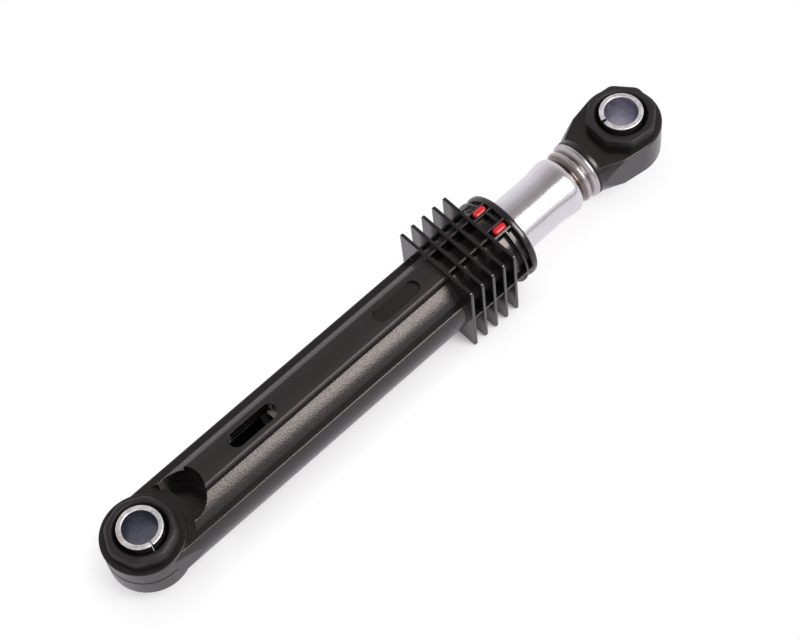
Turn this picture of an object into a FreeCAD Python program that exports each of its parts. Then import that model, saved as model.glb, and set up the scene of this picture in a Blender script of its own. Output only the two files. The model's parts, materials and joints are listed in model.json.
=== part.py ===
import FreeCAD, Part
import math
import os

# Friction damper of a washing machine's drum, in millimetres. The origin is the centre of the lower
# eye's bore, +X runs along the damper to the upper eye, and +Z runs along both bores.

# Driving dimensions: the two bushed eyes
eye_span = 202.0
bolt_bore_d = 11.0
sleeve_wall = 1.6
sleeve_length = 23.8
sleeve_split = 1.3
sleeve_edge = 0.3
sleeve_proud = 1.3
bush_wall = 2.4
bush_flats = 22.0
bush_sides = 8
bush_flange_edge = 1.2
bush_dish = 1.0
bush_lower_turn = 41.0
bush_upper_turn = 16.0
lower_split_angle = -98.0
upper_split_angle = 168.0
eye_wall = 3.5
eye_thickness = 13.4
eye_edge = 0.3
eye_lip = 0.9
eye_lip_depth = 0.25
parting_step = 0.12

# Driving dimensions: the sliding rod, its rolled neck and its moulded end
rod_d = 18.8
rod_wall = 1.2
rod_inner_end = 52.0
rod_edge = 0.7
rod_swell = 0.6
rod_swell_length = 10.0
swell_peak_back = 3.4
neck_length = 7.4
neck_pitch = 1.6
neck_groove_depth = 1.2
neck_bead_rise = 0.15
neck_dip_depth = 0.5
neck_lip_rise = 0.8
neck_end_rise = 0.5
rod_end_reach = 19.6
spigot_length = 27.0
spigot_core_d = 9.0
rod_collar_d = 20.6
rod_collar_length = 1.8
rod_collar_edge = 0.5
flare_angle = 21.0
flank_ease = 0.05
rod_end_edge = 0.4

# Driving dimensions: the tube of the housing with its rails, pocket and slot
tube_wall = 2.05
rail_width = 10.0
rail_height = 2.4
rail_crown = 0.5
rail_round = 1.1
side_rail_height = 11.6
side_rail_depth = 1.9
side_rail_round = 0.5
side_rail_lead = 12.0
side_rail_tuck = 0.1
boss_step = 2.6
pocket_end = 23.1
pocket_r = 8.4
pocket_floor = 3.0
tube_floor = 2.9
slot_from_pocket = 12.5
slot_length = 18.0
slot_width = 5.6
recess_depth = 1.0
recess_from_fins = 7.4

# Driving dimensions: the finned head of the housing
head_x = 119.85
fin_count = 5
fin_pitch = 4.55
fin_thickness = 1.1
fin_size = 31.6
fin_corner = 1.0
fin_edge = 0.25
head_wall = 1.2
head_floor = 1.8
web_inset = 0.4
web_thickness = 0.65
web_spacing = 8.7
collar_length = 7.25
ring_rib_from_fins = 4.95
ring_rib_thickness = 0.7
rim_thickness = 2.5
rim_inset = 0.5
rim_edge = 0.9

# Driving dimensions: the linings and the guide clip in the head
lining_thickness = 1.5
lining_count = 2
lining_butt_gap = 2.0
clip_wall = 2.4
clip_length = 9.2
clip_inset = 0.5
clip_slit = 0.8
clip_slit_length = 7.0
clip_slit_angle = 40.0
peg_length = 4.8
peg_width = 2.3
peg_from_fins = 3.9
peg_inset = 0.6
peg_round = 0.8
window_length = 6.1

# Named clearances
sleeve_fit = 0.06
bush_seat = 0.05
spigot_fit = 0.05
lining_fit = 0.08
guide_fit = 0.1
clip_seat = 0.1
bore_clearance = 0.35
end_gap = 0.4
collar_seat = 0.1
window_clearance = 0.12
overcut = 1.0
parallel_angle = 2.0

# Values that follow from the driving dimensions
sleeve_r = bolt_bore_d / 2 + sleeve_wall
bush_bore_r = sleeve_r + sleeve_fit
bush_r = bush_bore_r + bush_wall
bush_flange_top = sleeve_length / 2 - sleeve_proud
eye_bore_r = bush_r + bush_seat
eye_r = eye_bore_r + eye_wall
eye_wall_r = eye_r - eye_lip_depth
eye_half = eye_thickness / 2
boss_r = eye_r + boss_step
rod_r = rod_d / 2
neck_end = eye_span - rod_end_reach
neck_start = neck_end - neck_length
swell_start = neck_start - rod_swell_length
tube_bore_r = rod_r + bore_clearance
tube_r = tube_bore_r + tube_wall
rail_top = tube_r + rail_height
side_r = tube_r + side_rail_depth
bore_start = pocket_end + tube_floor
slot_x = pocket_end + slot_from_pocket + slot_length / 2
recess_x = head_x - recess_from_fins - slot_length / 2
chamber_r = rod_r + lining_thickness + 2 * lining_fit
chamber_start = head_x + head_floor
head_r = chamber_r + head_wall
fin_half = fin_size / 2
web_r = fin_half - web_inset
fins_end = head_x + (fin_count - 1) * fin_pitch + fin_thickness
ring_rib_x = fins_end + ring_rib_from_fins
rim_start = fins_end + collar_length
head_end = rim_start + rim_thickness
rim_r = fin_half - rim_inset
clip_end = head_end - clip_inset
clip_start = clip_end - clip_length
clip_r = rod_r + guide_fit + clip_wall
collar_bore_r = clip_r + clip_seat
collar_bore_start = clip_start - end_gap
head_collar_r = collar_bore_r + head_wall
peg_x = fins_end + peg_from_fins
peg_top = fin_half - peg_inset
window_x = fins_end + collar_length / 2
window_half = peg_width / 2 + window_clearance
outside = max(fin_size, 2 * rim_r, 2 * side_r)


def box(x, y, z):
    """Box between the given pairs of limits."""
    corner = FreeCAD.Vector(x[0], y[0], z[0])
    return Part.makeBox(x[1] - x[0], y[1] - y[0], z[1] - z[0], corner)


def along_x(radius, start, end):
    """Cylinder on the damper's axis."""
    return Part.makeCylinder(radius, end - start, FreeCAD.Vector(start, 0, 0), FreeCAD.Vector(1, 0, 0))


def along_z(radius, bottom, top, x=0.0, y=0.0):
    """Cylinder parallel to the bores."""
    return Part.makeCylinder(radius, top - bottom, FreeCAD.Vector(x, y, bottom))


def obround(length, width, bottom, top, x, y=0.0):
    """Upright prism with round ends, longest along X."""
    half = length / 2 - width / 2
    prism = box((x - half, x + half), (y - width / 2, y + width / 2), (bottom, top))
    for centre in (x - half, x + half):
        prism = prism.fuse(along_z(width / 2, bottom, top, centre, y))
    return prism.removeSplitter()


def edges_along(shape, direction):
    """Straight edges of a shape that run along a direction."""
    found = []
    limit = math.cos(math.radians(parallel_angle))
    for edge in shape.Edges:
        if isinstance(edge.Curve, Part.Line) and abs(edge.Curve.Direction.dot(direction)) > limit:
            found.append(edge)
    return found


def edges_at(shape, axis, place):
    """Edges of a shape that lie in the plane across an axis at the given place."""
    found = []
    for edge in shape.Edges:
        low, high = getattr(edge.BoundBox, axis + "Min"), getattr(edge.BoundBox, axis + "Max")
        if abs(low - place) < collar_seat and abs(high - place) < collar_seat:
            found.append(edge)
    return found


def turned_about_x(edges):
    """Solid of revolution on the damper's axis from a closed profile of edges."""
    face = Part.Face(Part.Wire(Part.__sortEdges__(edges)))
    return face.revolve(FreeCAD.Vector(0, 0, 0), FreeCAD.Vector(1, 0, 0), 360)


def mirrored_down(shape):
    """Copy of a shape on the other side of the plane through the damper's axis."""
    return shape.mirror(FreeCAD.Vector(0, 0, 0), FreeCAD.Vector(0, 0, 1))


def eye_boss():
    """Lower eye with a lip round its upper face; the mould's lower half leaves a small parting step."""
    boss = along_z(eye_wall_r, 0, eye_half).fuse([
        along_z(eye_wall_r + parting_step, -eye_half, 0),
        along_z(eye_r, eye_half - eye_lip, eye_half),
    ])
    return boss.makeFillet(eye_edge, edges_at(boss, "Z", eye_half) + edges_at(boss, "Z", -eye_half))


def top_rail():
    """Rail along the tube, with a gently crowned top and rounded shoulders."""
    half, shoulder = rail_width / 2, rail_top - rail_crown
    left = FreeCAD.Vector(0, half, shoulder)
    right = FreeCAD.Vector(0, -half, shoulder)
    section = Part.Wire([
        Part.makeLine(FreeCAD.Vector(0, -half, 0), right),
        Part.Arc(right, FreeCAD.Vector(0, 0, rail_top), left).toShape(),
        Part.makeLine(left, FreeCAD.Vector(0, half, 0)),
        Part.makeLine(FreeCAD.Vector(0, half, 0), FreeCAD.Vector(0, -half, 0)),
    ])
    rail = Part.Face(section).extrude(FreeCAD.Vector(head_x, 0, 0))
    shoulders = [e for e in edges_along(rail, FreeCAD.Vector(1, 0, 0)) if e.BoundBox.ZMin > rail_top / 2]
    return rail.makeFillet(rail_round, shoulders)


def side_rails():
    """Broad rails on both flanks, curved with the tube and flat on top."""
    band = box((0, head_x), (-side_r, side_r), (-side_rail_height / 2, side_rail_height / 2))
    rails = band.common(along_x(side_r, 0, head_x))
    rails = rails.makeFillet(side_rail_round, edges_along(rails, FreeCAD.Vector(1, 0, 0)))
    tuck = eye_wall_r - side_rail_tuck
    wide = side_r + side_rail_tuck
    plan = [
        FreeCAD.Vector(0, -tuck, -outside),
        FreeCAD.Vector(side_rail_lead, -wide, -outside),
        FreeCAD.Vector(head_x, -wide, -outside),
        FreeCAD.Vector(head_x, wide, -outside),
        FreeCAD.Vector(side_rail_lead, wide, -outside),
        FreeCAD.Vector(0, tuck, -outside),
    ]
    lead = Part.Face(Part.makePolygon(plan + plan[:1])).extrude(FreeCAD.Vector(0, 0, 2 * outside))
    return rails.common(lead)


def tube_outside():
    """Tube and rails from the lower eye to the first fin, with the eye's clearances cut."""
    rail = top_rail()
    tube = along_x(tube_r, 0, head_x).fuse([rail, mirrored_down(rail), side_rails()])
    ledge = side_rail_height / 2
    beside_eye = along_z(boss_r, ledge, outside)
    pocket = along_z(pocket_r, pocket_floor / 2, outside, pocket_end - pocket_r)
    pocket = pocket.cut(along_z(boss_r, 0, ledge))
    return tube.cut([beside_eye, mirrored_down(beside_eye), pocket, mirrored_down(pocket)])


def fin(index):
    """One square cooling plate."""
    start = head_x + index * fin_pitch
    plate = box((start, start + fin_thickness), (-fin_half, fin_half), (-fin_half, fin_half))
    plate = plate.makeFillet(fin_corner, edges_along(plate, FreeCAD.Vector(1, 0, 0)))
    faces = (start, start + fin_thickness)
    return plate.makeFillet(fin_edge, edges_at(plate, "X", faces[0]) + edges_at(plate, "X", faces[1]))


def axial_web(y, start, end):
    """Thin rib along the top of the head, centred on y."""
    half = web_thickness / 2
    return box((start, end), (y - half, y + half), (0, web_r)).common(along_x(web_r, start, end))


def side_web():
    """Rib on the mould's parting plane, on both flanks of the head."""
    half = web_thickness / 2
    return box((head_x, rim_start), (-web_r, web_r), (-half, half))


def rim():
    """Rounded flange at the mouth of the head."""
    flange = along_x(rim_r, rim_start, head_end)
    edges = [edge for edge in flange.Edges if isinstance(edge.Curve, Part.Circle)]
    return flange.makeFillet(rim_edge, edges)


def window(y):
    """Opening in the head for one peg of the guide clip."""
    reach = window_length / 2
    return box((window_x - reach, window_x + reach), (y - window_half, y + window_half), (rod_r / 2, outside))


def finned_head():
    """Lining chamber's wall with its fins, webs, ring rib and rim."""
    core = along_x(head_r, head_x, fins_end)
    collar = along_x(head_collar_r, fins_end - fin_thickness, head_end)
    upper = []
    for side in (-1, 1):
        y = side * web_spacing / 2
        frame = window_half + web_thickness / 2
        upper.append(axial_web(y, head_x, fins_end))
        upper.append(axial_web(y - frame, fins_end, rim_start))
        upper.append(axial_web(y + frame, fins_end, rim_start))
    lower = [mirrored_down(web) for web in upper]
    ring = along_x(web_r, ring_rib_x - ring_rib_thickness / 2, ring_rib_x + ring_rib_thickness / 2)
    plates = [fin(index) for index in range(fin_count)]
    head = core.fuse(upper + lower + plates + [collar, side_web(), ring, rim()])
    openings = []
    for side in (-1, 1):
        opening = window(side * web_spacing / 2)
        openings += [opening, mirrored_down(opening)]
    return head.cut(openings)


def cylinder_housing():
    """One moulding: lower eye, railed tube and finned head."""
    body = tube_outside().fuse([eye_boss(), finned_head()])
    slot = obround(slot_length, slot_width, 0, outside, slot_x)
    recess = obround(slot_length, slot_width, rail_top - recess_depth, outside, recess_x)
    hollows = [
        along_z(eye_bore_r, -outside, outside),
        along_x(tube_bore_r, bore_start, chamber_start + overcut),
        along_x(chamber_r, chamber_start, clip_start),
        along_x(collar_bore_r, collar_bore_start, head_end + overcut),
        slot,
        mirrored_down(slot),
        recess,
        mirrored_down(recess),
    ]
    return body.cut(hollows).removeSplitter()


def split_sleeve(x, split_angle):
    """Rolled steel sleeve with a narrow split along one side."""
    half = sleeve_length / 2
    sleeve = along_z(sleeve_r, -half, half, x).cut(along_z(bolt_bore_d / 2, -half, half, x))
    rims = [edge for edge in sleeve.Edges if isinstance(edge.Curve, Part.Circle)]
    sleeve = sleeve.makeChamfer(sleeve_edge, rims)
    split = box((0, sleeve_r + overcut), (-sleeve_split / 2, sleeve_split / 2), (-outside, outside))
    split.rotate(FreeCAD.Vector(0, 0, 0), FreeCAD.Vector(0, 0, 1), split_angle)
    split.translate(FreeCAD.Vector(x, 0, 0))
    return sleeve.cut(split)


def bush_flange(x, turn):
    """Eight-sided flange of a bush, above the eye's upper face."""
    corner_r = bush_flats / 2 / math.cos(math.pi / bush_sides)
    corners = []
    for index in range(bush_sides + 1):
        angle = math.radians(turn) + 2 * math.pi * index / bush_sides
        corners.append(FreeCAD.Vector(x + corner_r * math.cos(angle), corner_r * math.sin(angle), eye_half))
    height = bush_flange_top - eye_half
    flange = Part.Face(Part.makePolygon(corners)).extrude(FreeCAD.Vector(0, 0, height))
    outer = [edge for edge in flange.Edges if edge.BoundBox.ZMin > bush_flange_top - height / 2]
    flange = flange.makeChamfer(bush_flange_edge, outer)
    dish = Part.makeCone(bush_bore_r, bush_bore_r + bush_dish, bush_dish,
                         FreeCAD.Vector(x, 0, bush_flange_top - bush_dish))
    return flange.cut(dish)


def rubber_bush(x, turn):
    """Rubber bush pulled through an eye, with a flange on each side."""
    flange = bush_flange(x, turn)
    bush = along_z(bush_r, -eye_half, eye_half, x).fuse([flange, mirrored_down(flange)])
    return bush.cut(along_z(bush_bore_r, -outside, outside, x)).removeSplitter()


def neck_curve(inset):
    """Rolled neck of the rod as a curve, a given distance inside its outer surface."""
    radii = (
        (swell_start, rod_r),
        (neck_start - swell_peak_back, rod_r + rod_swell),
        (neck_start, rod_r),
        (neck_start + neck_pitch, rod_r - neck_groove_depth),
        (neck_start + 2 * neck_pitch, rod_r + neck_bead_rise),
        (neck_start + 3 * neck_pitch, rod_r - neck_dip_depth),
        (neck_start + 4 * neck_pitch, rod_r + neck_lip_rise),
        (neck_end, rod_r + neck_end_rise),
    )
    points = [FreeCAD.Vector(x, 0, radius - inset) for x, radius in radii]
    curve = Part.BSplineCurve()
    curve.interpolate(points, InitialTangent=FreeCAD.Vector(1, 0, 0), FinalTangent=FreeCAD.Vector(1, 0, -1))
    return curve.toShape()


def line(start, end):
    """Straight edge of a profile, each end given along the axis and out from it."""
    return Part.makeLine(FreeCAD.Vector(start[0], 0, start[1]), FreeCAD.Vector(end[0], 0, end[1]))


def curve_ends(curve):
    """Both ends of a profile curve, along the axis and out from it."""
    first, last = curve.Vertexes[0].Point, curve.Vertexes[-1].Point
    return (first.x, first.z), (last.x, last.z)


def piston_rod():
    """Steel tube with an eased inner end and a neck rolled into the rod end's spigot."""
    outer, inner = neck_curve(0), neck_curve(rod_wall)
    outer_first, outer_last = curve_ends(outer)
    inner_first, inner_last = curve_ends(inner)
    start_inner = (rod_inner_end, rod_r - rod_wall)
    start_outer = (rod_inner_end, rod_r - rod_edge)
    eased = (rod_inner_end + rod_edge, rod_r)
    return turned_about_x([
        line(start_inner, start_outer),
        line(start_outer, eased),
        line(eased, outer_first),
        outer,
        line(outer_last, inner_last),
        inner,
        line(inner_first, start_inner),
    ])


def spigot():
    """Part of the rod end inside the tube, following the rolled neck, with a cored middle."""
    curve = neck_curve(rod_wall + spigot_fit)
    first, last = curve_ends(curve)
    tip = neck_end - spigot_length
    core = spigot_core_d / 2
    return turned_about_x([
        line((tip, core), (tip, first[1])),
        line((tip, first[1]), first),
        curve,
        line(last, (neck_end, core)),
        line((neck_end, core), (tip, core)),
    ])


def eye_plan(start, half_width):
    """Flat plate of the upper eye: straight flanks from the collar, tangent to the round eye."""
    back = eye_span - start
    lean = math.asin(eye_r / math.hypot(back, half_width)) - math.atan2(half_width, back)
    touch_x = eye_span - eye_r * math.sin(lean)
    touch_y = eye_r * math.cos(lean)
    near_right = FreeCAD.Vector(start, -half_width, -eye_half)
    near_left = FreeCAD.Vector(start, half_width, -eye_half)
    touch_right = FreeCAD.Vector(touch_x, -touch_y, -eye_half)
    touch_left = FreeCAD.Vector(touch_x, touch_y, -eye_half)
    far = FreeCAD.Vector(eye_span + eye_r, 0, -eye_half)
    outline = Part.Wire([
        Part.makeLine(near_right, touch_right),
        Part.Arc(touch_right, far, touch_left).toShape(),
        Part.makeLine(touch_left, near_left),
        Part.makeLine(near_left, near_right),
    ])
    plate = Part.Face(outline).extrude(FreeCAD.Vector(0, 0, eye_thickness))
    rims = edges_at(plate, "Z", eye_half) + edges_at(plate, "Z", -eye_half)
    return plate.makeFillet(rod_end_edge, [edge for edge in rims if edge.BoundBox.XMax > start + collar_seat])


def rod_end():
    """Moulded upper eye: round collar flaring into a flat-faced head, on its spigot."""
    collar_r = rod_collar_d / 2
    flare_start = neck_end + rod_collar_length
    flare_r = eye_r + eye_half
    flare_end = flare_start + (flare_r - collar_r) / math.tan(math.radians(flare_angle))
    far = eye_span + eye_r + overcut
    flare = turned_about_x([
        line((flare_start, 0), (flare_start, collar_r)),
        line((flare_start, collar_r), (flare_end, flare_r)),
        line((flare_end, flare_r), (far, flare_r)),
        line((far, flare_r), (far, 0)),
        line((far, 0), (flare_start, 0)),
    ])
    collar = along_x(collar_r, neck_end + collar_seat, flare_start)
    rim_edges = [edge for edge in collar.Edges if edge.BoundBox.XMax < flare_start - collar_seat]
    collar = collar.makeFillet(rod_collar_edge, rim_edges)
    plug = along_x(rod_r - rod_wall - neck_groove_depth, neck_end - overcut, flare_start + overcut)
    head = flare.common(eye_plan(flare_start, collar_r + flank_ease))
    body = head.fuse([collar, spigot(), plug])
    return body.cut(along_z(eye_bore_r, -outside, outside, eye_span)).removeSplitter()


def lining_strip(index):
    """Foam strip curled round the rod, its two ends a short gap apart."""
    room = clip_start - chamber_start
    length = (room - (lining_count + 1) * end_gap) / lining_count
    start = chamber_start + end_gap + index * (length + end_gap)
    end = start + length
    strip = along_x(chamber_r - lining_fit, start, end).cut(along_x(rod_r + lining_fit, start, end))
    half = lining_butt_gap / 2
    gap = box((start, end), (0, outside), (-half, half))
    return strip.cut(gap)


def clip_peg(y):
    """Oval peg with a domed top that snaps into a window of the head."""
    peg = obround(peg_length, peg_width, rod_r, peg_top, peg_x, y)
    crown = [edge for edge in peg.Edges if edge.BoundBox.ZMin > peg_top - peg_round / 2]
    return peg.makeFillet(peg_round, crown)


def guide_clip():
    """Guide bush in the mouth of the head, with springy upper and lower tongues that carry the pegs."""
    ring = along_x(clip_r, clip_start, clip_end)
    pegs = []
    for side in (-1, 1):
        peg = clip_peg(side * web_spacing / 2)
        pegs += [peg, mirrored_down(peg)]
    clip = ring.fuse(pegs).cut(along_x(rod_r + guide_fit, clip_start - overcut, clip_end + overcut))
    slits = []
    for side in (-1, 1):
        slit = box((clip_start, clip_start + clip_slit_length), (-clip_slit / 2, clip_slit / 2), (0, outside))
        slit.rotate(FreeCAD.Vector(0, 0, 0), FreeCAD.Vector(1, 0, 0), side * clip_slit_angle)
        slits += [slit, mirrored_down(slit)]
    return clip.cut(slits).removeSplitter()


pieces = {
    "cylinder_housing": cylinder_housing(),
    "lower_bush": rubber_bush(0.0, bush_lower_turn),
    "lower_sleeve": split_sleeve(0.0, lower_split_angle),
    "guide_clip": guide_clip(),
    "friction_lining_lower": lining_strip(0),
    "friction_lining_upper": lining_strip(1),
    "piston_rod": piston_rod(),
    "rod_end": rod_end(),
    "upper_bush": rubber_bush(eye_span, bush_upper_turn),
    "upper_sleeve": split_sleeve(eye_span, upper_split_angle),
}

os.makedirs("parts", exist_ok=True)
for name, shape in pieces.items():
    shape.exportStep("parts/" + name + ".step")
    print(name, "solids", len(shape.Solids), "valid", shape.isValid(), "volume", round(shape.Volume, 1))
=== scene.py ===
import bmesh
import bpy
import json
import math
from mathutils import Matrix, Vector


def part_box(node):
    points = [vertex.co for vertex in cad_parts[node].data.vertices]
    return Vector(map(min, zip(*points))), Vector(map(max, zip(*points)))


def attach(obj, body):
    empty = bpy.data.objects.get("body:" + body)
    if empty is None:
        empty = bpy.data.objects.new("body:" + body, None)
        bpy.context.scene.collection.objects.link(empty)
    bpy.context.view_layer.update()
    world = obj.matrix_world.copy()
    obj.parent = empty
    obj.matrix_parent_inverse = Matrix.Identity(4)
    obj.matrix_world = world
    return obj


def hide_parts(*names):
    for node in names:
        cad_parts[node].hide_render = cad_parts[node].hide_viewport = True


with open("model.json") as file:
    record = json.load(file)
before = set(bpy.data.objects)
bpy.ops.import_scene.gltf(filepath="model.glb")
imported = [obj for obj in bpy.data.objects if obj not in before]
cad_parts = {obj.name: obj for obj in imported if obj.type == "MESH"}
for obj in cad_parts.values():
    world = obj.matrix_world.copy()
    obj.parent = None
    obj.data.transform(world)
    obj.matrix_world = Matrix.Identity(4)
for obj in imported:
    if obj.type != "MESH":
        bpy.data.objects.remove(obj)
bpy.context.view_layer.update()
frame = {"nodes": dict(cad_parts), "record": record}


# Housing: one black glass-filled nylon moulding with the lower eye, the railed tube and the finned head.
# It comes out of a two-part mould: the rails and fins have a satin face, and the four round strips
# between the rails keep the coarse spark-eroded grain of the tool.
class Nodework:
    """Short ways to add nodes to the tree of a material or of the room."""

    def __init__(self, owner):
        owner.use_nodes = True
        self.owner = owner
        self.nodes = owner.node_tree.nodes
        self.links = owner.node_tree.links

    def put(self, value, socket):
        """Links a socket to another one, or sets it to a constant."""
        if isinstance(value, bpy.types.NodeSocket):
            self.links.new(value, socket)
        else:
            socket.default_value = value

    def shade(self, name, value):
        """Sets or links one input of the material's shader."""
        self.put(value, self.nodes["Principled BSDF"].inputs[name])

    def place(self):
        """Gives the piece's own coordinates, in metres."""
        return self.nodes.new("ShaderNodeTexCoord").outputs["Object"]

    def axes(self, vector):
        """Gives a vector's three parts."""
        node = self.nodes.new("ShaderNodeSeparateXYZ")
        self.put(vector, node.inputs["Vector"])
        return node.outputs["X"], node.outputs["Y"], node.outputs["Z"]

    def noise(self, scale, detail=2.0, roughness=0.5, vector=None):
        node = self.nodes.new("ShaderNodeTexNoise")
        node.inputs["Scale"].default_value = scale
        node.inputs["Detail"].default_value = detail
        node.inputs["Roughness"].default_value = roughness
        self.put(vector or self.place(), node.inputs["Vector"])
        return node.outputs["Fac"]

    def tones(self, value, *stops):
        """Turns a value into a colour, by stops of a position and a colour from low to high."""
        node = self.nodes.new("ShaderNodeValToRGB")
        ramp = node.color_ramp.elements
        while len(ramp) < len(stops):
            ramp.new(0.5)
        for element, (position, colour) in zip(ramp, stops):
            element.position = position
            element.color = (*colour, 1)
        self.put(value, node.inputs["Fac"])
        return node.outputs["Color"]

    def span(self, value, to_min, to_max, from_min=0.0, from_max=1.0):
        """Stretches one range of values over another."""
        node = self.nodes.new("ShaderNodeMapRange")
        node.inputs["From Min"].default_value = from_min
        node.inputs["From Max"].default_value = from_max
        node.inputs["To Min"].default_value = to_min
        node.inputs["To Max"].default_value = to_max
        self.put(value, node.inputs["Value"])
        return node.outputs["Result"]

    def maths(self, operation, *values):
        node = self.nodes.new("ShaderNodeMath")
        node.operation = operation
        for value, socket in zip(values, node.inputs):
            self.put(value, socket)
        return node.outputs["Value"]

    def mix(self, share, first, second, data_type="FLOAT"):
        node = self.nodes.new("ShaderNodeMix")
        node.data_type = data_type
        self.put(share, node.inputs["Factor"])
        self.put(first, node.inputs["A"])
        self.put(second, node.inputs["B"])
        return node.outputs["Result"]

    def bump(self, height, strength, distance, normal=None):
        node = self.nodes.new("ShaderNodeBump")
        node.inputs["Distance"].default_value = distance
        self.put(height, node.inputs["Height"])
        self.put(strength, node.inputs["Strength"])
        if normal:
            self.put(normal, node.inputs["Normal"])
        return node.outputs["Normal"]

    def reach(self, along, centre=(0, 0, 0)):
        """Gives the distance from a centre, counted along some of the axes only."""
        vector = self.place()
        for operation, by in (("SUBTRACT", centre), ("MULTIPLY", along)):
            node = self.nodes.new("ShaderNodeVectorMath")
            node.operation = operation
            node.inputs[1].default_value = by
            self.put(vector, node.inputs[0])
            vector = node.outputs["Vector"]
        length = self.nodes.new("ShaderNodeVectorMath")
        length.operation = "LENGTH"
        self.put(vector, length.inputs[0])
        return length.outputs["Value"]

    def inside_box(self, coordinates, box):
        """Gives 1 inside a box, which has a middle and a half size for each coordinate."""
        inside = 1.0
        for coordinate, (middle, half) in zip(coordinates, box):
            inside = self.maths("MULTIPLY", inside, self.maths("COMPARE", coordinate, middle, half))
        return inside


def moulded_black(name, roughness, grain, grain_scale, arris_radius):
    finish = Nodework(bpy.data.materials.new(name))
    finish.shade("IOR", 1.60)
    finish.shade("Specular Tint", (1.0, 0.91, 0.89, 1))
    cloud = finish.noise(160.0, detail=5.0)
    finish.shade("Base Color", finish.tones(cloud, (0.3, (0.0034, 0.0029, 0.0029)),
                                            (0.75, (0.0058, 0.0050, 0.0050))))
    finish.roughness = finish.span(cloud, roughness - 0.05, roughness + 0.05)
    finish.shade("Roughness", finish.roughness)

    # The mould's arrises are not quite sharp: the normal is rounded there, so each edge catches the light.
    finish.arris = finish.nodes.new("ShaderNodeBevel")
    finish.arris.samples = 6
    finish.arris.inputs["Radius"].default_value = arris_radius
    finish.satin = finish.bump(finish.noise(grain_scale), grain, 0.00010, finish.arris.outputs["Normal"])
    finish.shade("Normal", finish.satin)
    return finish


tube_radius = 0.0118
head_start = 0.1198
crown_height = 0.0128
ledge_height = 0.0058
pocket_middle = 0.0147
pocket_radius = 0.00846
eye_radius = 0.0142
crown_roughness = 0.47
recess_roughness = 0.28
head_roughness = 0.19
hollow_roughness = 0.14

# Boxes on both main rails: a middle and a half size along the tube, across it and out from its axis.
recess_floor = ((0.10345, 0.0093), (0.0, 0.0029), (0.0134, 0.0003))
recess_edges = ((0.10345, 0.0096), (0.0, 0.0033), (0.0138, 0.0007))
slot_walls = ((0.0446, 0.0095), (0.0, 0.0030), (0.0119, 0.0018))


def spark_grain(finish):
    """Adds what differs over the housing: grained strips, dull crowns, smooth hollows and a smooth head."""
    x, y, z = finish.axes(finish.place())
    height = finish.maths("ABSOLUTE", z)
    radius = finish.reach((0, 1, 1))
    before_head = finish.maths("LESS_THAN", x, head_start)
    on_tube = finish.maths("COMPARE", radius, tube_radius, 0.0002)
    strip = finish.maths("MULTIPLY", on_tube, before_head)
    spark = finish.noise(1700.0, detail=3.0, roughness=0.65)
    finish.shade("Normal", finish.bump(spark, strip, 0.00008, finish.satin))
    pitted = finish.span(spark, 0.36, 0.20, from_min=0.35, from_max=0.65)
    roughness = finish.mix(strip, finish.roughness, pitted)

    # The crowns of the two main rails are the dullest faces.
    crown = finish.maths("GREATER_THAN", height, crown_height)
    roughness = finish.mix(crown, roughness, crown_roughness)

    # The blind recess in each crown has a smoother floor, and its edges stay sharp.
    on_rail = (x, y, height)
    recess_edge = finish.inside_box(on_rail, recess_edges)
    roughness = finish.mix(finish.inside_box(on_rail, recess_floor), roughness, recess_roughness)

    # The inner corner between a strip and the side rail's ledge stays sharp, and the ledge's outer edge
    # is rounder and smoother than the others.
    at_ledge = finish.maths("COMPARE", height, ledge_height, 0.0005)
    corner = finish.maths("MULTIPLY", at_ledge, finish.maths("LESS_THAN", radius, tube_radius + 0.0005))
    rail_edge = finish.maths("SUBTRACT", at_ledge, corner)
    arris_radius = finish.arris.inputs["Radius"]
    sharp = finish.maths("MAXIMUM", corner, recess_edge)
    eased = finish.span(sharp, arris_radius.default_value, 0.0)
    finish.put(finish.maths("MULTIPLY_ADD", rail_edge, 0.0003, eased), arris_radius)

    # The finned head comes out of a polished insert, so its faces are smoother than the tube's.
    satin_strength = finish.satin.node.inputs["Strength"]
    fine = finish.span(before_head, 0.10, satin_strength.default_value)
    finish.put(finish.mix(rail_edge, fine, 0.05), satin_strength)
    roughness = finish.mix(before_head, head_roughness, roughness)

    # The pocket beside the eye and the slot were left by polished core pins.
    in_pocket = finish.maths("LESS_THAN", finish.reach((1, 1, 0), (pocket_middle, 0, 0)), pocket_radius)
    past_eye = finish.maths("GREATER_THAN", finish.reach((1, 1, 0)), eye_radius)
    pocket = finish.maths("MULTIPLY", in_pocket, past_eye)
    hollow = finish.maths("MAXIMUM", pocket, finish.inside_box(on_rail, slot_walls))
    finish.shade("Roughness", finish.mix(hollow, roughness, hollow_roughness))


housing_black = moulded_black("housing_black_grained", roughness=0.28, grain=0.35, grain_scale=3000.0,
                              arris_radius=0.0003)
spark_grain(housing_black)
frame["nodes"]["cylinder_housing"].data.materials[0] = housing_black.owner


# Rubber bushes: a soft black rubber moulding is pulled through each eye, and its two eight-sided
# flanges hold it there. The flange's edges are rounded, and a dished ring leaves the sleeve's end free.
def matt_rubber():
    finish = Nodework(bpy.data.materials.new("bush_matt_rubber"))
    finish.shade("Specular Tint", (1.0, 0.93, 0.97, 1))
    bloom = finish.noise(420.0, detail=6.0)
    finish.shade("Base Color", finish.tones(bloom, (0.35, (0.0060, 0.0058, 0.0060)),
                                            (0.8, (0.0120, 0.0116, 0.0120))))
    finish.shade("Roughness", finish.span(bloom, 0.48, 0.62))
    finish.shade("Normal", finish.bump(finish.noise(2600.0), 0.12, 0.00008))
    return finish.owner


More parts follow.
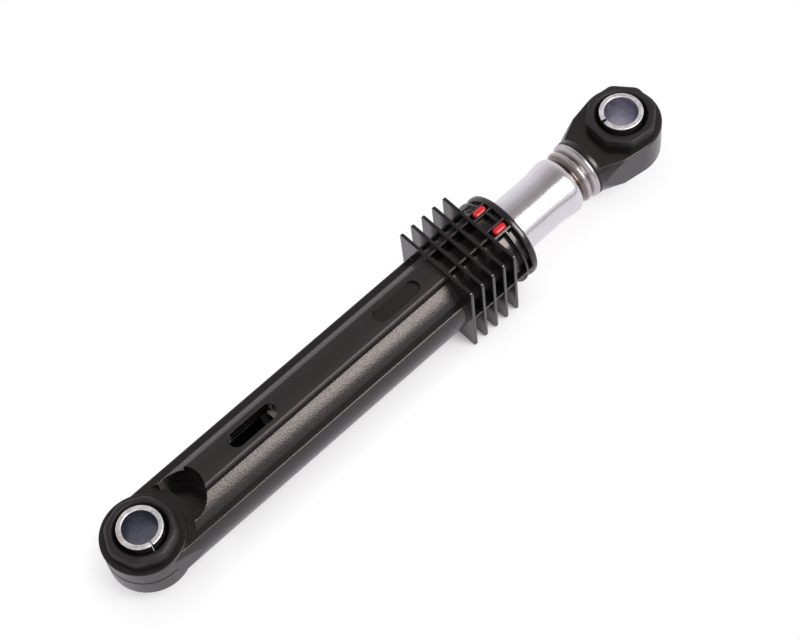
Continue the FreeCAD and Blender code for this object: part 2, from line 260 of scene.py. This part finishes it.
rubber = matt_rubber()
bush_barrel = 0.00955
bush_bore = 0.00717
eye_face = 0.0067
flange_corner = 0.01185
flange_top = 0.01058
flange_draft = 0.985
shoulder_steps = 5
dish_lip = 0.0088
dish_bottom = 0.0025
dish_steps = ((0.0002, 0.975), (0.0007, 0.955), (0.0022, 0.95))


def raise_loop(bm, loop, centre, to_z, scale=1.0, radius=None):
    """Extrudes a closed loop of edges to a height, and scales it about the eye or draws it into a circle."""
    made = bmesh.ops.extrude_edge_only(bm, edges=loop)["geom"]
    verts = [g for g in made if isinstance(g, bmesh.types.BMVert)]
    fresh = set(verts)
    for vert in verts:
        reach = math.hypot(vert.co.x - centre, vert.co.y)
        grow = radius / reach if radius else scale
        vert.co = (centre + (vert.co.x - centre) * grow, vert.co.y * grow, to_z)
    return [g for g in made if isinstance(g, bmesh.types.BMEdge) and fresh.issuperset(g.verts)]


def link_mesh(name, bm):
    """Turns a finished bmesh into a smooth object in the scene."""
    bmesh.ops.recalc_face_normals(bm, faces=bm.faces)
    mesh = bpy.data.meshes.new(name)
    bm.to_mesh(mesh)
    bm.free()
    mesh.shade_smooth()
    piece = bpy.data.objects.new(name, mesh)
    bpy.context.collection.objects.link(piece)
    return piece


def rubber_bush(name, node, body, centre, turn, corner_round, shoulder):
    bm = bmesh.new()
    # Eight-sided outline with rounded corners, drawn as a face whose corners are bevelled.
    spot = Matrix.Translation((centre, 0, eye_face)) @ Matrix.Rotation(math.radians(turn), 4, "Z")
    flat = bmesh.ops.create_circle(bm, segments=8, radius=flange_corner, cap_ends=True, matrix=spot)
    bmesh.ops.bevel(bm, geom=flat["verts"], offset=corner_round, segments=6, profile=0.5,
                    affect="VERTICES", material=-1)
    bmesh.ops.delete(bm, geom=bm.faces[:], context="FACES_ONLY")
    sides = [edge for edge in bm.edges if edge.calc_length() > corner_round]
    bmesh.ops.subdivide_edges(bm, edges=sides, cuts=7)
    outline = bm.edges[:]

    # The upper half is raised loop by loop: barrel, flange wall, rounded shoulder, dished ring and bore.
    seat = raise_loop(bm, outline, centre, eye_face, radius=bush_barrel)
    raise_loop(bm, seat, centre, 0.0)
    wall = raise_loop(bm, outline, centre, flange_top - shoulder, flange_draft)
    last_in = 1.0
    for step in range(1, shoulder_steps + 1):
        turned = math.radians(90 * step / shoulder_steps)
        drawn_in = 1 - shoulder * (1 - math.cos(turned)) / flange_corner
        rise = flange_top - shoulder * (1 - math.sin(turned))
        wall = raise_loop(bm, wall, centre, rise, drawn_in / last_in)
        last_in = drawn_in
    dish = raise_loop(bm, wall, centre, flange_top, radius=dish_lip)
    for depth, scale in dish_steps:
        dish = raise_loop(bm, dish, centre, flange_top - depth, scale)
    dish = raise_loop(bm, dish, centre, flange_top - dish_bottom, radius=bush_bore)
    raise_loop(bm, dish, centre, 0.0)
    bmesh.ops.mirror(bm, geom=bm.verts[:] + bm.edges[:] + bm.faces[:], axis="Z", merge_dist=0.000002)
    bush = link_mesh(name, bm)
    bush.data.materials.append(rubber)
    edge = bush.modifiers.new("soft_edges", "BEVEL")
    edge.width = 0.00012
    edge.segments = 2
    edge.limit_method = "ANGLE"
    edge.angle_limit = math.radians(50)
    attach(bush, body)
    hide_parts(node)


rubber_bush("lower_rubber_bush", "lower_bush", "housing", centre=0.0, turn=41.0,
            corner_round=0.0022, shoulder=0.0018)


# Steel sleeves: a strip of zinc-plated steel rolled into a tube, so a narrow split runs along one side.
# Both ends are cut square and tumbled, which leaves the rims round. They look brighter than the bore,
# whose steel is painted darker as painted shade.
def zinc_plate():
    finish = Nodework(bpy.data.materials.new("sleeve_zinc"))
    finish.shade("Metallic", 1.0)
    spangle = finish.noise(520.0, detail=4.0)
    finish.shade("Base Color", finish.tones(spangle, (0.3, (0.60, 0.60, 0.585)), (0.7, (0.96, 0.96, 0.94))))
    finish.shade("Roughness", finish.span(spangle, 0.44, 0.60))
    finish.shade("Normal", finish.bump(spangle, 0.15, 0.00005))
    return finish.owner


def dull_steel(name, dark, light, metallic):
    finish = Nodework(bpy.data.materials.new(name))
    finish.shade("Metallic", metallic)
    finish.shade("Specular IOR Level", 0.0)
    stain = finish.noise(500.0, detail=4.0)
    finish.shade("Base Color", finish.tones(stain, (0.3, dark), (0.75, light)))
    finish.shade("Roughness", finish.span(stain, 0.35, 0.50))
    return finish.owner


zinc = zinc_plate()
# The lower bore's steel is painted dark bluish grey: painted shade, darker than in the upper sleeve.
dark_shaded_bore = dull_steel("sleeve_bore_painted_dark_shade", (0.14, 0.158, 0.195), (0.26, 0.285, 0.345), 1.0)
# Near-black, unreflecting steel: painted shade on the outer wall that sinks into the rubber, and in the
# split.
shade_black_steel = dull_steel("sleeve_wall_painted_shade", (0.010, 0.0095, 0.009), (0.022, 0.020, 0.018), 0.0)
bolt_bores = {mount["name"]: mount for mount in frame["record"]["mounts"]}
sleeve_in = bolt_bores["lower_bolt_bore"]["dims"]["r_mm"] / 1000
sleeve_wall = 0.0016
sleeve_out = sleeve_in + sleeve_wall
sleeve_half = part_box("lower_sleeve")[1][2]
rim_round = 0.0003


def rolled_sleeve(name, node, body, centre, split_angle, split_width, bore_steel):
    bm = bmesh.new()
    corners = ((sleeve_in, -sleeve_half), (sleeve_out, -sleeve_half),
               (sleeve_out, sleeve_half), (sleeve_in, sleeve_half))
    wall = [bm.verts.new((x, 0, z)) for x, z in corners]
    bm.faces.new(wall)
    bmesh.ops.bevel(bm, geom=wall, offset=rim_round, segments=3, profile=0.5, affect="VERTICES", material=-1)
    half_gap = math.asin(split_width / 2 / sleeve_out)
    start = math.radians(split_angle) + half_gap
    bmesh.ops.rotate(bm, verts=bm.verts[:], cent=(0, 0, 0), matrix=Matrix.Rotation(start, 3, "Z"))
    bmesh.ops.spin(bm, geom=bm.verts[:] + bm.edges[:] + bm.faces[:], cent=(0, 0, 0), axis=(0, 0, 1),
                   angle=2 * math.pi - 2 * half_gap, steps=80)
    bmesh.ops.translate(bm, verts=bm.verts[:], vec=(centre, 0, 0))
    sleeve = link_mesh(name, bm)
    mesh = sleeve.data
    mesh.set_sharp_from_angle(angle=math.radians(35))

    # Bright zinc on the rims, the bore's steel (painted dark as shade) in the bore, and near-black
    # painted shade on the outer wall and in the split.
    for steel in (zinc, bore_steel, shade_black_steel):
        mesh.materials.append(steel)
    for face in mesh.polygons:
        off_axis = face.center - Vector((centre, 0, face.center.z))
        if abs(face.center.z) > sleeve_half - rim_round - 0.00005:
            face.material_index = 0
        else:
            face.material_index = 1 if off_axis.length < sleeve_in + 0.0001 else 2
    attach(sleeve, body)
    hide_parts(node)


rolled_sleeve("lower_rolled_sleeve", "lower_sleeve", "lower_eye_sleeve", centre=0.0,
              split_angle=-98.0, split_width=0.0006, bore_steel=dark_shaded_bore)


# Guide clip: a red acetal bush snapped into the head's mouth, which carries the rod.
# Its four oval pegs stand in the head's windows and lock it there.
def red_acetal():
    finish = Nodework(bpy.data.materials.new("clip_red_acetal"))
    finish.shade("Coat Weight", 0.15)
    flow = finish.noise(700.0, detail=3.0)
    finish.shade("Base Color", finish.tones(flow, (0.3, (0.50, 0.010, 0.011)), (0.7, (0.66, 0.015, 0.016))))
    finish.shade("Roughness", finish.span(flow, 0.22, 0.36))
    return finish.owner


frame["nodes"]["guide_clip"].data.materials[0] = red_acetal()


# Friction linings: two strips of open-celled foam soaked in damping grease, curled round the rod
# inside the finned head. Nothing of them shows from outside.
def greased_foam():
    finish = Nodework(bpy.data.materials.new("lining_greased_foam"))
    pores = finish.nodes.new("ShaderNodeTexVoronoi")
    pores.inputs["Scale"].default_value = 1500.0
    finish.put(finish.place(), pores.inputs["Vector"])
    cells = pores.outputs["Distance"]
    finish.shade("Base Color", finish.tones(cells, (0.0, (0.035, 0.031, 0.027)), (1.0, (0.13, 0.12, 0.10))))
    finish.shade("Roughness", finish.span(cells, 0.35, 0.75))
    finish.shade("Normal", finish.bump(cells, 0.6, 0.0002))
    return finish.owner


foam = greased_foam()
for strip_node in ("friction_lining_lower", "friction_lining_upper"):
    frame["nodes"][strip_node].data.materials[0] = foam


# Piston rod: a drawn and ground steel tube, polished bright, that slides through the linings.
# Its neck is rolled into two grooves to grip the moulded rod end.
neck_start = 0.1745
neck_full = 0.0095
groove_bottom = 0.0089
sawn_from = 0.0545
sawn_to = 0.0535


def ground_steel():
    finish = Nodework(bpy.data.materials.new("rod_ground_steel"))
    stretch = finish.nodes.new("ShaderNodeMapping")
    stretch.inputs["Scale"].default_value = (7000.0, 160.0, 160.0)
    finish.put(finish.place(), stretch.inputs["Vector"])
    rings = finish.noise(1.0, detail=3.0, vector=stretch.outputs["Vector"])
    finish.shade("Normal", finish.bump(rings, 0.05, 0.00003))
    polish = finish.span(rings, 0.17, 0.28)
    haze = finish.noise(130.0, detail=4.0)
    steel = finish.tones(haze, (0.3, (0.67, 0.66, 0.66)), (0.75, (0.77, 0.765, 0.765)))

    # The rolled neck is painted darker and brownish as painted shade, most of all in the grooves.
    x = finish.axes(finish.place())[0]
    shade_by_depth = finish.span(finish.reach((0, 1, 1)), 0.42, 1.0, from_min=neck_full, from_max=groove_bottom)
    neck_shade_share = finish.maths("MULTIPLY", shade_by_depth, finish.maths("GREATER_THAN", x, neck_start))
    shaded_neck_colour = finish.mix(neck_shade_share, steel, (0.21, 0.175, 0.155, 1), "RGBA")

    # The sawn inner end is rough and less metallic. Its pale cream colour is painted light,
    # for the bright patch its rim catches in the slot.
    on_cut = finish.span(x, 0.0, 1.0, from_min=sawn_from, from_max=sawn_to)
    finish.shade("Base Color", finish.mix(on_cut, shaded_neck_colour, (0.92, 0.87, 0.72, 1), "RGBA"))
    finish.shade("Metallic", finish.span(on_cut, 1.0, 0.3))
    finish.shade("Roughness", finish.mix(on_cut, polish, 0.30))
    return finish.owner


frame["nodes"]["piston_rod"].data.materials[0] = ground_steel()


# Rod end: the upper eye, moulded in the same black nylon, with a spigot that the rod's rolled neck grips.
# A round collar flares into the flat-faced eye, whose faces are satin, without the housing's coarse grain.
rod_end_black = moulded_black("rod_end_black", roughness=0.25, grain=0.12, grain_scale=4200.0,
                              arris_radius=0.0005)
frame["nodes"]["rod_end"].data.materials[0] = rod_end_black.owner
upper_eye = bolt_bores["upper_bolt_bore"]["pos_m"][0]
rubber_bush("upper_rubber_bush", "upper_bush", "rod", centre=upper_eye, turn=16.0,
            corner_round=0.0012, shoulder=0.0006)
# The upper bore's steel is painted a paler bluish grey: painted shade, lighter than in the lower sleeve.
pale_shaded_bore = dull_steel("sleeve_bore_painted_pale_shade", (0.34, 0.335, 0.40), (0.56, 0.555, 0.63), 1.0)
rolled_sleeve("upper_rolled_sleeve", "upper_sleeve", "upper_eye_sleeve", centre=upper_eye,
              split_angle=168.0, split_width=0.0011, bore_steel=pale_shaded_bore)


# Floor: a plain white studio sweep. The damper rests on the end of its lower rail and on the first fin,
# so the floor leans with them by about one degree.
rail_foot = Vector((0.0231, 0, -0.0142))
fin_foot = Vector((0.11985, 0, -0.0158))
floor_gap = 0.00005
rest_slope = math.atan2(rail_foot.z - fin_foot.z, fin_foot.x - rail_foot.x)
floor_height = rail_foot.z + rail_foot.x * math.tan(rest_slope) - floor_gap
floor_bm = bmesh.new()
bmesh.ops.create_grid(floor_bm, x_segments=1, y_segments=1, size=6.0)
floor_lean = Matrix.Rotation(rest_slope, 3, "Y")
bmesh.ops.rotate(floor_bm, verts=floor_bm.verts[:], cent=(0, 0, 0), matrix=floor_lean)
bmesh.ops.translate(floor_bm, verts=floor_bm.verts[:], vec=(0, 0, floor_height))
floor_mesh = bpy.data.meshes.new("studio_floor")
floor_bm.to_mesh(floor_mesh)
floor_bm.free()
floor = bpy.data.objects.new("studio_floor", floor_mesh)
bpy.context.collection.objects.link(floor)

# White where the camera, a gloss or a clear piece sees it, and shaded close under the damper.
# Glossy pieces see it a little lilac, as the photo's table shows in them.
paper = Nodework(bpy.data.materials.new("white_paper"))
paper.shade("Base Color", (0.82, 0.82, 0.83, 1))
paper.shade("Roughness", 0.9)
paper.shade("Specular IOR Level", 0.0)
rays = paper.nodes.new("ShaderNodeLightPath").outputs
glow = paper.nodes.new("ShaderNodeEmission")
paper.put(paper.mix(rays["Is Glossy Ray"], (1, 1, 1, 1), (0.97, 0.93, 1.0, 1), "RGBA"), glow.inputs["Color"])
seen = paper.maths("MAXIMUM", rays["Is Camera Ray"], rays["Is Glossy Ray"])
seen = paper.maths("MAXIMUM", seen, rays["Is Transmission Ray"])
shade = paper.nodes.new("ShaderNodeAmbientOcclusion")
shade.inputs["Distance"].default_value = 0.012
sheet = paper.nodes.new("ShaderNodeMixShader")
paper.put(paper.maths("MULTIPLY", seen, shade.outputs["AO"]), sheet.inputs["Fac"])
paper.put(paper.nodes["Principled BSDF"].outputs["BSDF"], sheet.inputs[1])
paper.put(glow.outputs["Emission"], sheet.inputs[2])
paper.put(sheet.outputs["Shader"], paper.nodes["Material Output"].inputs["Surface"])
floor_mesh.materials.append(paper.owner)


# Studio light: one large warm softbox to the right of the camera, in a pale room. The room's walls are
# nearly white low down and fall to grey at the ceiling, with a dark gap under the softbox.
room = Nodework(bpy.data.worlds.new("grey_room"))
bpy.context.scene.world = room.owner
outlook = room.nodes.new("ShaderNodeTexCoord").outputs["Generated"]
toward, upright = room.axes(outlook)[1:]
walls = room.tones(upright, (0.0, (0.90, 0.87, 0.93)), (0.42, (0.80, 0.76, 0.84)),
                   (0.86, (0.40, 0.37, 0.38)), (1.0, (0.28, 0.27, 0.27)))
low_band = room.maths("COMPARE", upright, 0.07, 0.05)
near_side = room.maths("LESS_THAN", toward, -0.5)
gap = room.maths("MULTIPLY", low_band, near_side)
room.put(room.mix(gap, walls, (0.10, 0.09, 0.085, 1), "RGBA"), room.nodes["Background"].inputs["Color"])

softbox = bpy.data.lights.new("softbox", "AREA")
softbox.shape = "RECTANGLE"
softbox.size = 0.50
softbox.size_y = 0.80
softbox.energy = 11.5
softbox.color = (1.0, 0.965, 0.93)
softbox_stand = bpy.data.objects.new("softbox", softbox)
softbox_stand.location = (0.43, -0.68, 0.83)
damper_middle = Vector((0.10, 0, 0))
softbox_aim = damper_middle - softbox_stand.location
softbox_stand.rotation_euler = softbox_aim.to_track_quat("-Z", "Y").to_euler()
bpy.context.collection.objects.link(softbox_stand)


# Camera: a long lens above and in front of the lower eye, as the catalogue picture was taken.
# Its place and direction were fitted to the photo's two sleeves, rails and fins.
lens = bpy.data.cameras.new("catalogue_camera")
lens.sensor_width = 36.0
lens.lens = 95.7
lens.clip_start = 0.01
camera = bpy.data.objects.new("catalogue_camera", lens)
ahead = Vector((0.2902, 0.4014, -0.8687)).normalized()
right = ahead.cross(Vector((0.6268, 0.6062, 0.4895))).normalized()
upward = right.cross(ahead)
stand = Matrix((right, upward, -ahead)).transposed().to_4x4()
stand.translation = Vector((-0.08683, -0.26351, 0.57233))
camera.matrix_world = stand
bpy.context.collection.objects.link(camera)
bpy.context.scene.camera = camera
bpy.context.scene.view_settings.view_transform = "Standard"
